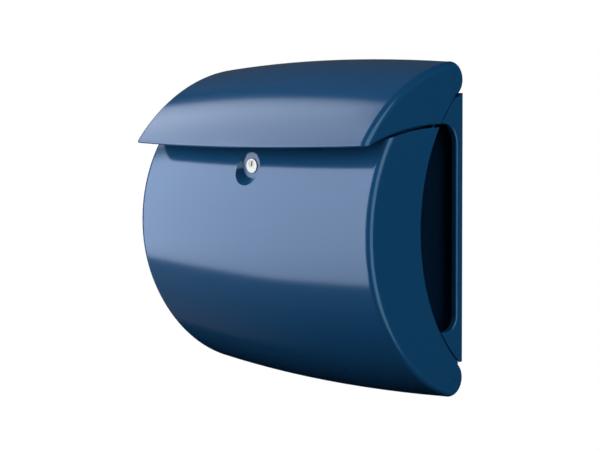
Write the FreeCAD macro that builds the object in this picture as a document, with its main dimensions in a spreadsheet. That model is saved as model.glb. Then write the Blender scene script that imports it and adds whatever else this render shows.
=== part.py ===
"""A moulded post box for a wall: lift-up lid, drop-down front door with a cam lock,
letter slot under the lid, and a newspaper compartment that is open at both sides.

Frame: X runs across the box, the door looks towards -Y, Z is up. The wall is the plane Y = 0,
and the origin is the middle of the four fixing holes on that plane. Sizes are in millimetres.
"""
import FreeCAD, Part
import math
import os

import Sketcher
from FreeCAD import Placement, Rotation, Vector

doc = FreeCAD.newDocument("post_box")

# Driving dimensions: alias, value. Heights are above or below the middle of the fixing holes.
DRIVING_SIZES = [
    ("body_width", 385.0),
    ("skin", 2.8),
    ("edge_round", 8.0),
    ("crown_rise", 8.5),
    ("pin_setback", 22.3),
    ("upper_pin_height", 176.0),
    ("lower_pin_drop", 180.0),
    ("ear_radius", 20.8),
    ("lid_arc_radius", 253.6),
    ("lip_depth", 189.9),
    ("lip_height", 98.7),
    ("lip_sag", 3.5),
    ("lip_turn_in", 7.0),
    ("lip_round", 2.0),
    ("lid_side_height", 123.3),
    ("lip_corner_drop", 1.7),
    ("lid_to_door", 4.0),
    ("door_depth", 180.5),
    ("door_ear_reach", 16.4),
    ("door_arc_height", -1.5),
    ("belly_flattening", 48.4),
    ("ear_lap", 0.8),
    ("parting_depth", 88.8),
    ("parting_height", 0.8),
    ("parting_gap", 2.0),
    ("wall_standoff", 5.0),
    ("plate_thickness", 3.0),
    ("frame_top", 160.2),
    ("frame_drop", 161.0),
    ("column_width", 12.7),
    ("cutout_rim", 7.0),
    ("cutout_top", 123.3),
    ("cutout_drop", 121.7),
    ("cutout_upper_round", 24.0),
    ("cutout_lower_round", 17.0),
    ("cheek_thickness", 3.5),
    ("cheek_radius", 16.5),
    ("web_reach", 52.0),
    ("web_drop", 50.0),
    ("roll_end_angle", 150.0),
    ("roll_thickness", 2.5),
    ("ear_clearance", 0.4),
    ("pin_diameter", 5.0),
    ("pin_inset", 0.4),
    ("running_fit", 0.06),
    ("fixing_spacing_x", 300.0),
    ("fixing_spacing_z", 280.0),
    ("fixing_hole", 5.5),
    ("pad_diameter", 24.0),
    ("well_outer", 16.0),
    ("well_inner", 11.0),
    ("well_floor", 2.5),
    ("seat_gap", 0.3),
    ("inner_wall_skin", 2.5),
    ("inner_wall_lap", 3.0),
    ("inner_wall_side_gap", 2.7),
    ("deck_skin", 2.5),
    ("deck_drop", 12.0),
    ("slot_width", 330.0),
    ("slot_height", 38.0),
    ("rail_depth", 141.0),
    ("rail_foot_height", 108.0),
    ("flange_sweep", 14.0),
    ("keeper_width", 56.0),
    ("keeper_foot_height", 94.0),
    ("keeper_gap", 0.6),
    ("keeper_skin", 2.5),
    ("lock_height", 73.0),
    ("lock_floor_depth", 168.0),
    ("lock_floor_skin", 8.0),
    ("dish_floor_radius", 15.0),
    ("dish_flare", 0.58),
    ("collar_radius", 16.4),
    ("collar_stand", 0.3),
    ("lock_head_diameter", 18.5),
    ("lock_head_proud", 1.2),
    ("lock_body_diameter", 16.4),
    ("lock_flat_width", 13.8),
    ("lock_groove_depth", 1.0),
    ("lock_body_length", 21.0),
    ("plug_diameter", 9.5),
    ("plug_rise", 2.8),
    ("cam_length", 28.0),
    ("cam_width", 11.0),
    ("cam_thickness", 2.0),
    ("tail_width", 6.0),
    ("keyway_width", 1.6),
    ("keyway_height", 6.4),
    ("cam_screw_diameter", 3.5),
    ("clip_thickness", 1.2),
    ("frame_screw_diameter", 3.5),
]


def make_sheet():
    """Puts the driving dimensions into a spreadsheet, one alias to a row."""
    made = doc.addObject("Spreadsheet::Sheet", "sizes")
    for row, (alias, value) in enumerate(DRIVING_SIZES, start=1):
        made.set("A%d" % row, alias)
        made.set("B%d" % row, str(value))
        made.setAlias("B%d" % row, alias)
    doc.recompute()
    return made


sheet = make_sheet()


def size(alias):
    """The value of one driving dimension, read from the sheet."""
    return float(sheet.get(alias))


# Plane geometry of the side view: a point is (y, z)

def polar(centre, radius, degrees):
    """The point at an angle from +Y towards +Z on a circle."""
    turn = math.radians(degrees)
    return centre[0] + radius * math.cos(turn), centre[1] + radius * math.sin(turn)


def angle_at(centre, point):
    """The angle of a point seen from a centre, 0 to 360 degrees from +Y towards +Z."""
    return math.degrees(math.atan2(point[1] - centre[1], point[0] - centre[0])) % 360.0


def circles_meet(first, first_radius, second, second_radius, side):
    """Where two circles cross; side +1 is to the left of the line from first to second."""
    across = second[0] - first[0]
    up = second[1] - first[1]
    apart = math.hypot(across, up)
    along = (apart ** 2 + first_radius ** 2 - second_radius ** 2) / (2.0 * apart)
    off = side * math.sqrt(first_radius ** 2 - along ** 2)
    y = first[0] + (along * across - off * up) / apart
    z = first[1] + (along * up + off * across) / apart
    return y, z


def circle_y(centre, radius, z):
    """The front (-Y) point of a circle at a height."""
    return centre[0] - math.sqrt(radius ** 2 - (z - centre[1]) ** 2)



def radius_beside_pin(front_depth, pin_rise, reach):
    """The radius of a side circle, from its front point and its distance past a pin.

    The circle's front is at y = -front_depth, its centre lies pin_rise above or below the pin,
    and the centre is one radius plus the reach away from the pin.
    """
    setback = size("pin_setback") - front_depth
    return (setback ** 2 + pin_rise ** 2 - reach ** 2) / (2.0 * (reach - setback))


half_width = size("body_width") / 2.0
upper_pin = (-size("pin_setback"), size("upper_pin_height"))
lower_pin = (-size("pin_setback"), -size("lower_pin_drop"))
ear_radius = size("ear_radius")

# The lid's side: one long arc from the ear's round to the lip
lip_point = (-size("lip_depth"), size("lip_height"))
lid_arc_radius = size("lid_arc_radius")
lid_centre = circles_meet(upper_pin, lid_arc_radius - ear_radius, lip_point, lid_arc_radius, 1)
lid_ear_angle = angle_at(lid_centre, upper_pin)
LID_REAR_EDGE_ANGLE = 100.0

# The door's side: the front arc, a flatter belly arc below it, and the lower ear's round
door_arc_radius = radius_beside_pin(size("door_depth"), size("lower_pin_drop") + size("door_arc_height"),
                                    size("door_ear_reach") - ear_radius)
belly_arc_radius = door_arc_radius + size("belly_flattening")
door_centre = (door_arc_radius - size("door_depth"), size("door_arc_height"))
belly_centre = circles_meet(door_centre, belly_arc_radius - door_arc_radius,
                            lower_pin, belly_arc_radius - ear_radius, 1)
door_belly_angle = angle_at(belly_centre, door_centre)
belly_ear_angle = angle_at(belly_centre, lower_pin)
DOOR_REAR_EDGE_ANGLE = 252.0
DOOR_SWEEP_START_ANGLE = 135.0

# One circle parts the lid and the door from the housing's side frames; it cuts both ears
parting_pin_rise = max(size("upper_pin_height") - size("parting_height"),
                       size("lower_pin_drop") + size("parting_height"))
parting_radius = radius_beside_pin(size("parting_depth"), parting_pin_rise,
                                   ear_radius - size("ear_lap"))
parting_centre = (parting_radius - size("parting_depth"), size("parting_height"))
frame_edge_radius = parting_radius - size("parting_gap")

# One circle gives the lid's lower side edge, and the door's top edge below it. It is highest
# a quarter of the way to the lip, and falls a little below the lip's ends.
side_edge_y = -size("lip_depth") * 0.26
side_edge_run = size("lip_depth") + side_edge_y
side_edge_fall = size("lid_side_height") - size("lip_height") + size("lip_corner_drop")
side_edge_radius = (side_edge_run ** 2 + side_edge_fall ** 2) / (2.0 * side_edge_fall)
side_edge_centre = (side_edge_y, size("lid_side_height") - side_edge_radius)


# Sketch helpers

def origin_plane(body, role):
    """One of a body's own origin planes."""
    return next(feature for feature in body.Origin.OriginFeatures if feature.Role == role)


def make_body(name):
    """A body whose label names its sub-part."""
    body = doc.addObject("PartDesign::Body", name + "_body")
    body.Label = name
    return body


def make_sketch(body, name, role, offset="0", degrees=0.0, shift=(0.0, 0.0), rise="0"):
    """A sketch on an origin plane, tilted about its x and moved by expressions.

    The offset is along the plane's normal, the rise along its own y.
    """
    sketch = body.newObject("Sketcher::SketchObject", name)
    sketch.AttachmentSupport = (origin_plane(body, role), [""])
    sketch.MapMode = "FlatFace"
    sketch.AttachmentOffset = Placement(Vector(0, shift[0], shift[1]), Rotation(Vector(1, 0, 0), degrees))
    if offset != "0":
        sketch.setExpression("AttachmentOffset.Base.z", offset)
    if rise != "0":
        sketch.setExpression("AttachmentOffset.Base.y", rise)
    return sketch


def line(start, end):
    return Part.LineSegment(Vector(start[0], start[1], 0), Vector(end[0], end[1], 0))


def arc(centre, radius, start_degrees, end_degrees):
    """An arc that runs counter-clockwise from one angle to the other."""
    circle = Part.Circle(Vector(centre[0], centre[1], 0), Vector(0, 0, 1), radius)
    return Part.ArcOfCircle(circle, math.radians(start_degrees), math.radians(end_degrees))


def end_points(sketch, edge):
    """The two ends of a sketch edge, as sketch positions 1 and 2."""
    return {1: sketch.getPoint(edge, 1), 2: sketch.getPoint(edge, 2)}


def draw(sketch, edges, closed=True):
    """Adds the edges in order and ties each one's end to the next one's."""
    first = sketch.GeometryCount
    for edge in edges:
        sketch.addGeometry(edge, False)
    last = sketch.GeometryCount - 1
    pairs = [(index, index + 1) for index in range(first, last)]
    if closed and last > first:
        pairs.append((last, first))
    for one, other in pairs:
        here = end_points(sketch, one)
        there = end_points(sketch, other)
        near = min(((here[a] - there[b]).Length, a, b) for a in here for b in there)
        sketch.addConstraint(Sketcher.Constraint("Coincident", one, near[1], other, near[2]))
    return first


def draw_circle(sketch, centre, radius_expression, centre_expressions=None):
    """A circle whose radius, and if given its centre, come from the sheet."""
    index = sketch.GeometryCount
    sketch.addGeometry(Part.Circle(Vector(centre[0], centre[1], 0), Vector(0, 0, 1), 1.0), False)
    constraint = sketch.addConstraint(Sketcher.Constraint("Radius", index, 1.0))
    sketch.setExpression("Constraints[%d]" % constraint, radius_expression)
    if centre_expressions:
        for kind, value, expression in zip(("DistanceX", "DistanceY"), centre, centre_expressions):
            spot = sketch.addConstraint(Sketcher.Constraint(kind, -1, 1, index, 3, value))
            sketch.setExpression("Constraints[%d]" % spot, expression)
    return index


def polygon(points):
    """Straight edges round a list of points."""
    following = points[1:] + points[:1]
    return [line(start, end) for start, end in zip(points, following)]


def pad(body, name, sketch, length, reverse=False, middle=False):
    """A pad with its length from an expression."""
    feature = body.newObject("PartDesign::Pad", name)
    feature.Profile = sketch
    feature.Reversed = reverse
    feature.Midplane = middle
    feature.setExpression("Length", length)
    sketch.Visibility = False
    return feature


def pocket(body, name, sketch, length, reverse=False, middle=False):
    """A pocket with its length from an expression; it has to take material away."""
    doc.recompute()
    before = body.Shape.Volume
    feature = body.newObject("PartDesign::Pocket", name)
    feature.Profile = sketch
    feature.Reversed = reverse
    feature.Midplane = middle
    feature.setExpression("Length", length)
    doc.recompute()
    if not body.Shape.Volume < before:
        raise RuntimeError(name + " cut nothing")
    return feature


def mirror_across_yz(body, name, features):
    """Repeats features on the other side of the middle."""
    feature = body.newObject("PartDesign::Mirrored", name)
    feature.Originals = features
    feature.MirrorPlane = (origin_plane(body, "YZ_Plane"), [""])
    body.Tip = feature
    doc.recompute()
    return feature


def fillet_edges(body, name, radius, chosen):
    """Rounds the edges of the body that the test picks, by a radius from an expression."""
    doc.recompute()
    base = body.Tip
    names = ["Edge%d" % (number + 1) for number, edge in enumerate(base.Shape.Edges) if chosen(edge)]
    if not names:
        raise RuntimeError(name + " found no edge")
    feature = body.newObject("PartDesign::Fillet", name)
    feature.Base = (base, names)
    feature.setExpression("Radius", radius)
    doc.recompute()
    return feature


# Crowned shells: a channel section carried along the side profile

def channel_section(skirt, outer, inner):
    """Outline of a wall across the box: crowned, with rounded corners, between two insets.

    Its origin lies on the side profile; y points outwards. The insets are counted from the
    outer surface, and the skirt is how far the side walls of the section reach inwards.
    """
    rounding = size("edge_round")
    rise = size("crown_rise")
    crown_radius = (half_width ** 2 + rise ** 2) / (2.0 * rise)
    crown_centre = (0.0, rise - crown_radius)
    corner_x = half_width - rounding
    corner_y = crown_centre[1] + math.sqrt((crown_radius - rounding) ** 2 - corner_x ** 2)
    corner = (corner_x, corner_y)
    mirrored = (-corner_x, corner_y)
    meeting = angle_at(crown_centre, corner)
    outer_x = half_width - outer
    inner_x = half_width - inner
    return [
        arc(crown_centre, crown_radius - outer, meeting, 180.0 - meeting),
        arc(mirrored, rounding - outer, 180.0 - meeting, 180.0),
        line((-outer_x, corner_y), (-outer_x, -skirt)),
        line((-outer_x, -skirt), (-inner_x, -skirt)),
        line((-inner_x, -skirt), (-inner_x, corner_y)),
        arc(mirrored, rounding - inner, 180.0 - meeting, 180.0),
        arc(crown_centre, crown_radius - inner, meeting, 180.0 - meeting),
        arc(corner, rounding - inner, 0.0, meeting),
        line((inner_x, corner_y), (inner_x, -skirt)),
        line((inner_x, -skirt), (outer_x, -skirt)),
        line((outer_x, -skirt), (outer_x, corner_y)),
        arc(corner, rounding - outer, 0.0, meeting),
    ]


def sweep_shell(body, path_edges, start_centre, start_radius, start_angle, skirt):
    """The shell: the channel section carried along the side profile."""
    path = make_sketch(body, "side_path", "YZ_Plane")
    draw(path, path_edges, closed=False)
    start = polar(start_centre, start_radius, start_angle)
    section = make_sketch(body, "wall_section", "XZ_Plane", degrees=start_angle - 90.0,
                          shift=(start[1], -start[0]))
    draw(section, channel_section(skirt, 0.0, size("skin")))
    doc.recompute()
    shell = body.newObject("PartDesign::AdditivePipe", "shell")
    shell.Profile = section
    shell.Spine = (path, ["Edge%d" % (number + 1) for number in range(len(path_edges))])
    shell.Mode = "Standard"
    doc.recompute()
    return shell


SKIRT_LAP = 4.0


def side_plates(body, edges):
    """Two flat side walls of one skin's thickness, flush with the shell's sides."""
    sketch = make_sketch(body, "side_outline", "YZ_Plane", offset="sizes.body_width / 2 - sizes.skin")
    draw(sketch, edges)
    plate = pad(body, "side_wall", sketch, "sizes.skin")
    doc.recompute()
    mirror_across_yz(body, "side_walls", [plate])


def ear_bearing(body, pin, height_expression):
    """A boss inside each ear that carries the pin, and the pin's hole through it."""
    boss_sketch = make_sketch(body, "boss_circle", "YZ_Plane", offset="sizes.body_width / 2 - sizes.skin")
    place = ("-sizes.pin_setback", height_expression)
    draw_circle(boss_sketch, pin, "sizes.pin_diameter * 1.4", place)
    boss = pad(body, "ear_boss", boss_sketch, "sizes.edge_round - sizes.skin", reverse=True)
    doc.recompute()
    mirror_across_yz(body, "ear_bosses", [boss])
    hole_sketch = make_sketch(body, "pin_hole_circle", "YZ_Plane", offset="sizes.body_width / 2")
    draw_circle(hole_sketch, pin, "sizes.pin_diameter / 2 + sizes.running_fit", place)
    hole = pocket(body, "pin_hole", hole_sketch, "sizes.edge_round * 2")
    mirror_across_yz(body, "pin_holes", [hole])


def open_rear(body, pin, start_degrees, end_degrees):
    """Takes the shell away behind the hinge line, between the ears' corner rounds."""
    reach = ear_radius + size("crown_rise") * 2.0
    inner = ear_radius - size("edge_round") - SKIRT_LAP * 2.0
    sketch = make_sketch(body, "rear_opening", "YZ_Plane")
    sweep = [
        line(polar(pin, inner, start_degrees), polar(pin, reach, start_degrees)),
        arc(pin, reach, start_degrees, end_degrees),
        line(polar(pin, reach, end_degrees), polar(pin, inner, end_degrees)),
        arc(pin, inner, start_degrees, end_degrees),
    ]
    draw(sketch, sweep)
    pocket(body, "rear_cut", sketch, "sizes.body_width - sizes.edge_round * 2", middle=True)


def make_lid():
    """The lid: swept shell, side walls to the parting circle, trimmed lip and side edges."""
    body = make_body("lid")
    rounding = size("edge_round")
    lip_angle = angle_at(lid_centre, lip_point)
    ear_meet = circles_meet(upper_pin, ear_radius, parting_centre, parting_radius, -1)
    ear_end = angle_at(upper_pin, ear_meet) - 360.0
    past_lip = lip_angle + 4.0
    skirt = rounding + SKIRT_LAP

    # The lip turns in: a band behind the shell's edge, level along its top
    turn_in = size("lip_turn_in")
    band = make_sketch(body, "lip_band_outline", "XZ_Plane", degrees=lip_angle - 90.0,
                       shift=(lid_centre[1], -lid_centre[0]))
    outline = channel_section(skirt, size("skin") / 2.0, turn_in)
    for edge in outline:
        edge.translate(Vector(0, lid_arc_radius, 0))
    draw(band, outline)
    band_turn = math.degrees((size("crown_rise") + turn_in) / lid_arc_radius)
    revolve(body, "lip_band", band, degrees=band_turn * 2.0, middle=True)
    band_top = make_sketch(body, "lip_band_top", "XZ_Plane")
    draw(band_top, lip_region(size("skin") * 1.2, size("lid_side_height")))
    pocket(body, "lip_band_cut", band_top, "sizes.lip_depth * 2", reverse=True)
    path = [
        arc(upper_pin, ear_radius, ear_end, lid_ear_angle),
        arc(lid_centre, lid_arc_radius, lid_ear_angle, past_lip),
    ]
    sweep_shell(body, path, upper_pin, ear_radius, ear_end, skirt)

    # Side walls, kept inside the corner rounds of the shell
    inset = rounding + SKIRT_LAP / 2.0
    rear_low = circles_meet(side_edge_centre, side_edge_radius, parting_centre, parting_radius, 1)
    if rear_low[1] < 0:
        rear_low = circles_meet(side_edge_centre, side_edge_radius, parting_centre, parting_radius, -1)
    low_front = polar(lid_centre, lid_arc_radius - inset, past_lip)
    low_rear_z = rear_low[1] - rounding * 1.5
    low_rear = (circle_y(parting_centre, parting_radius, low_rear_z), low_rear_z)
    edges = [
        arc(lid_centre, lid_arc_radius - inset, lid_ear_angle, past_lip),
        line(low_front, low_rear),
        arc(parting_centre, parting_radius, angle_at(parting_centre, ear_meet),
            angle_at(parting_centre, low_rear)),
        line(ear_meet, polar(upper_pin, ear_radius - inset, ear_end)),
        arc(upper_pin, ear_radius - inset, ear_end, lid_ear_angle),
    ]
    side_plates(body, edges)
    open_rear(body, upper_pin, ear_end - 30.0, LID_REAR_EDGE_ANGLE)

    # Lower edge of the sides: one circle, falling towards the lip
    sketch = make_sketch(body, "side_edge", "YZ_Plane", offset="sizes.body_width / 2")
    draw(sketch, side_edge_region(side_edge_radius, 0.0))
    side_cut = pocket(body, "side_edge_cut", sketch, "sizes.edge_round")
    mirror_across_yz(body, "side_edge_cuts", [side_cut])
    ear_bearing(body, upper_pin, "sizes.upper_pin_height")

    # Lip: one shallow arc in the front view, lower in the middle
    lip = make_sketch(body, "lip_arc", "XZ_Plane", offset="sizes.rail_depth")
    draw(lip, lip_region(0.0, 0.0))
    pocket(body, "lip_cut", lip, "sizes.lip_depth", reverse=True)
    lip_level = size("lip_height")
    split = -size("lip_depth") - size("crown_rise") * 1.5 + turn_in * 0.6

    def lip_edge(edge):
        box = edge.BoundBox
        return box.XLength > half_width and box.ZMax < lip_level + 1.0 and box.YMax < -size("rail_depth")

    def middle_y(edge):
        return edge.valueAt((edge.FirstParameter + edge.LastParameter) / 2.0).y
    fillet_edges(body, "lip_front_round", "sizes.lip_round",
                 lambda edge: lip_edge(edge) and middle_y(edge) < split)
    fillet_edges(body, "lip_rear_round", "sizes.skin * 0.3",
                 lambda edge: lip_edge(edge) and middle_y(edge) > split)
    return body


def lip_region(lift, level):
    """The region between the lip's arc, lifted or not, and a level below or above it."""
    sag = size("lip_sag")
    corner = size("lip_height") + lift
    radius = (half_width ** 2 + sag ** 2) / (2.0 * sag)
    turn = math.degrees(math.asin(half_width / radius))
    wide = half_width * 1.1
    return [
        arc((0.0, corner - sag + radius), radius, 270.0 - turn, 270.0 + turn),
        line((half_width, corner), (wide, corner)),
        line((wide, corner), (wide, level)),
        line((wide, level), (-wide, level)),
        line((-wide, level), (-wide, corner)),
        line((-wide, corner), (-half_width, corner)),
    ]


def side_edge_region(radius, level):
    """The region on one side of the side-edge circle: up or down to a level."""
    front_y = -size("lip_depth") - size("crown_rise") * 3.0
    front = angle_at(side_edge_centre, (front_y, side_edge_centre[1] + math.sqrt(
        radius ** 2 - (front_y - side_edge_centre[0]) ** 2)))
    front_end = polar(side_edge_centre, radius, front)
    rear_end = polar(side_edge_centre, radius, 90.0)
    return [
        arc(side_edge_centre, radius, 90.0, front),
        line(front_end, (front_end[0], level)),
        line((front_end[0], level), (0.0, level)),
        line((0.0, level), (0.0, rear_end[1])),
        line((0.0, rear_end[1]), rear_end),
    ]


def revolve(body, name, sketch, kind="PartDesign::Revolution", degrees=360.0, middle=False):
    """Turns a sketch about its own x axis, adding or cutting."""
    doc.recompute()
    feature = body.newObject(kind, name)
    feature.Profile = sketch
    feature.ReferenceAxis = (sketch, ["H_Axis"])
    feature.Angle = degrees
    feature.Midplane = middle
    doc.recompute()
    return feature


def flatted_circle(centre, radius, flat_width):
    """A circle with two upright flats, as (x, z) edges."""
    half = flat_width / 2.0
    turn = math.degrees(math.acos(half / radius))
    top_right = polar(centre, radius, turn)
    top_left = polar(centre, radius, 180.0 - turn)
    low_left = polar(centre, radius, 180.0 + turn)
    low_right = polar(centre, radius, 360.0 - turn)
    return [
        arc(centre, radius, turn, 180.0 - turn),
        line(top_left, low_left),
        arc(centre, radius, 180.0 + turn, 360.0 - turn),
        line(low_right, top_right),
    ]


def lock_seat(body):
    """The dished seat for the lock: cup inside, collar outside, flat floor and hole."""
    floor_depth = size("lock_floor_depth")
    floor_skin = size("lock_floor_skin")
    flare = size("dish_flare")
    floor_radius = size("dish_floor_radius")
    skin = size("skin")
    front = size("door_depth") + size("crown_rise")
    cup_rear = floor_depth - floor_skin
    cup_foot = floor_radius + skin
    cup_mouth = cup_foot + flare * (front - cup_rear)
    cup = make_sketch(body, "cup_outline", "YZ_Plane", rise="sizes.lock_height")
    draw(cup, polygon([(-cup_rear, 0.0), (-cup_rear, cup_foot), (-front, cup_mouth), (-front, 0.0)]))
    revolve(body, "cup", cup)

    # Nothing of the cup stays in front of the door's skin
    rise = size("crown_rise")
    crown_radius = (half_width ** 2 + rise ** 2) / (2.0 * rise)
    crown_centre = (0.0, door_arc_radius + rise - crown_radius)
    reach = cup_mouth + skin
    edge_y = crown_centre[1] + math.sqrt(crown_radius ** 2 - reach ** 2)
    meeting = angle_at(crown_centre, (reach, edge_y))
    outside = edge_y + cup_mouth
    lock_angle = angle_at(door_centre, (-floor_depth, size("lock_height")))
    trim = make_sketch(body, "skin_outline", "XZ_Plane", degrees=lock_angle - 90.0,
                       shift=(door_centre[1], -door_centre[0]))
    draw(trim, [
        arc(crown_centre, crown_radius, meeting, 180.0 - meeting),
        line((-reach, edge_y), (-reach, outside)),
        line((-reach, outside), (reach, outside)),
        line((reach, outside), (reach, edge_y)),
    ])
    revolve(body, "cup_trim", trim, "PartDesign::Groove", 44.0, True)

    collar = make_sketch(body, "collar_circle", "XZ_Plane", rise="sizes.lock_height",
                         offset="sizes.lock_floor_depth - sizes.lock_floor_skin")
    draw_circle(collar, (0.0, 0.0), "sizes.collar_radius")
    pad(body, "collar", collar, "sizes.lock_floor_skin + sizes.collar_stand")

    dish = make_sketch(body, "dish_outline", "YZ_Plane", rise="sizes.lock_height")
    depth = front - floor_depth + skin
    draw(dish, polygon([(-floor_depth, 0.0), (-floor_depth, floor_radius),
                        (-floor_depth - depth, floor_radius + flare * depth),
                        (-floor_depth - depth, 0.0)]))
    revolve(body, "dish", dish, "PartDesign::Groove")

    hole = make_sketch(body, "lock_hole_outline", "XZ_Plane", rise="sizes.lock_height",
                       offset="sizes.lock_floor_depth")
    fit = size("running_fit")
    draw(hole, flatted_circle((0.0, 0.0), size("lock_body_diameter") / 2.0 + fit,
                              size("lock_flat_width") + 2.0 * fit))
    pocket(body, "lock_hole", hole, "sizes.lock_floor_skin * 2")


def make_door():
    """The front door: swept shell, crescent side walls, lower ears and the lock's seat."""
    body = make_body("front_door")
    rounding = size("edge_round")
    skirt = rounding + SKIRT_LAP
    ear_meet = circles_meet(lower_pin, ear_radius, parting_centre, parting_radius, 1)
    ear_end = angle_at(lower_pin, ear_meet) + 360.0
    path = [
        arc(door_centre, door_arc_radius, DOOR_SWEEP_START_ANGLE, door_belly_angle),
        arc(belly_centre, belly_arc_radius, door_belly_angle, belly_ear_angle),
        arc(lower_pin, ear_radius, belly_ear_angle, ear_end),
    ]
    sweep_shell(body, path, door_centre, door_arc_radius, DOOR_SWEEP_START_ANGLE, skirt)

    inset = rounding + SKIRT_LAP / 2.0
    top = size("lid_side_height")
    rear_top = (circle_y(parting_centre, parting_radius, top), top)
    front_top = polar(door_centre, door_arc_radius - inset, DOOR_SWEEP_START_ANGLE)
    edges = [
        arc(door_centre, door_arc_radius - inset, DOOR_SWEEP_START_ANGLE, door_belly_angle),
        arc(belly_centre, belly_arc_radius - inset, door_belly_angle, belly_ear_angle),
        arc(lower_pin, ear_radius - inset, belly_ear_angle, ear_end),
        line(polar(lower_pin, ear_radius - inset, ear_end), ear_meet),
        arc(parting_centre, parting_radius, angle_at(parting_centre, rear_top),
            angle_at(parting_centre, ear_meet)),
        line(rear_top, front_top),
    ]
    side_plates(body, edges)
    open_rear(body, lower_pin, DOOR_REAR_EDGE_ANGLE, ear_end + 30.0)

    sketch = make_sketch(body, "top_edge", "YZ_Plane")
    draw(sketch, side_edge_region(side_edge_radius - size("lid_to_door"), size("upper_pin_height")))
    pocket(body, "top_edge_cut", sketch, "sizes.body_width * 1.1", middle=True)
    ear_bearing(body, lower_pin, "-sizes.lower_pin_drop")
    lock_seat(body)
    doc.recompute()
    return body


def cheek_circles(body, name, offset, radius_expression, length, cut):
    """Circles about both pins on one side plane, padded or cut, and repeated on the other side."""
    sketch = make_sketch(body, name + "_circles", "YZ_Plane", offset=offset)
    draw_circle(sketch, upper_pin, radius_expression, ("-sizes.pin_setback", "sizes.upper_pin_height"))
    draw_circle(sketch, lower_pin, radius_expression, ("-sizes.pin_setback", "-sizes.lower_pin_drop"))
    if cut:
        feature = pocket(body, name, sketch, length)
    else:
        feature = pad(body, name, sketch, length)
    doc.recompute()
    mirror_across_yz(body, name + "_pair", [feature])


def roll_outline(pin, sign):
    """A curled edge about a pin: a ring sector with a foot on the wall plate."""
    outer = size("cheek_radius")
    inner = outer - size("roll_thickness")
    end = size("roll_end_angle")
    plate_front = -size("wall_standoff") - size("plate_thickness")
    root = plate_front + size("roll_thickness") / 2.0
    lift = 12.0
    angles = (lift, end) if sign > 0 else (360.0 - end + 30.0, 360.0 - lift)
    near = angles[0] if sign > 0 else angles[1]
    far = angles[1] if sign > 0 else angles[0]
    edges = [
        arc(pin, outer, *angles),
        line(polar(pin, outer, far), polar(pin, inner, far)),
        arc(pin, inner, *angles),
    ]
    inner_end = polar(pin, inner, near)
    outer_end = polar(pin, outer, near)
    edges.append(line(inner_end, (root, inner_end[1])))
    edges.append(line((root, inner_end[1]), (root, outer_end[1])))
    edges.append(line((root, outer_end[1]), outer_end))
    return edges


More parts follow.
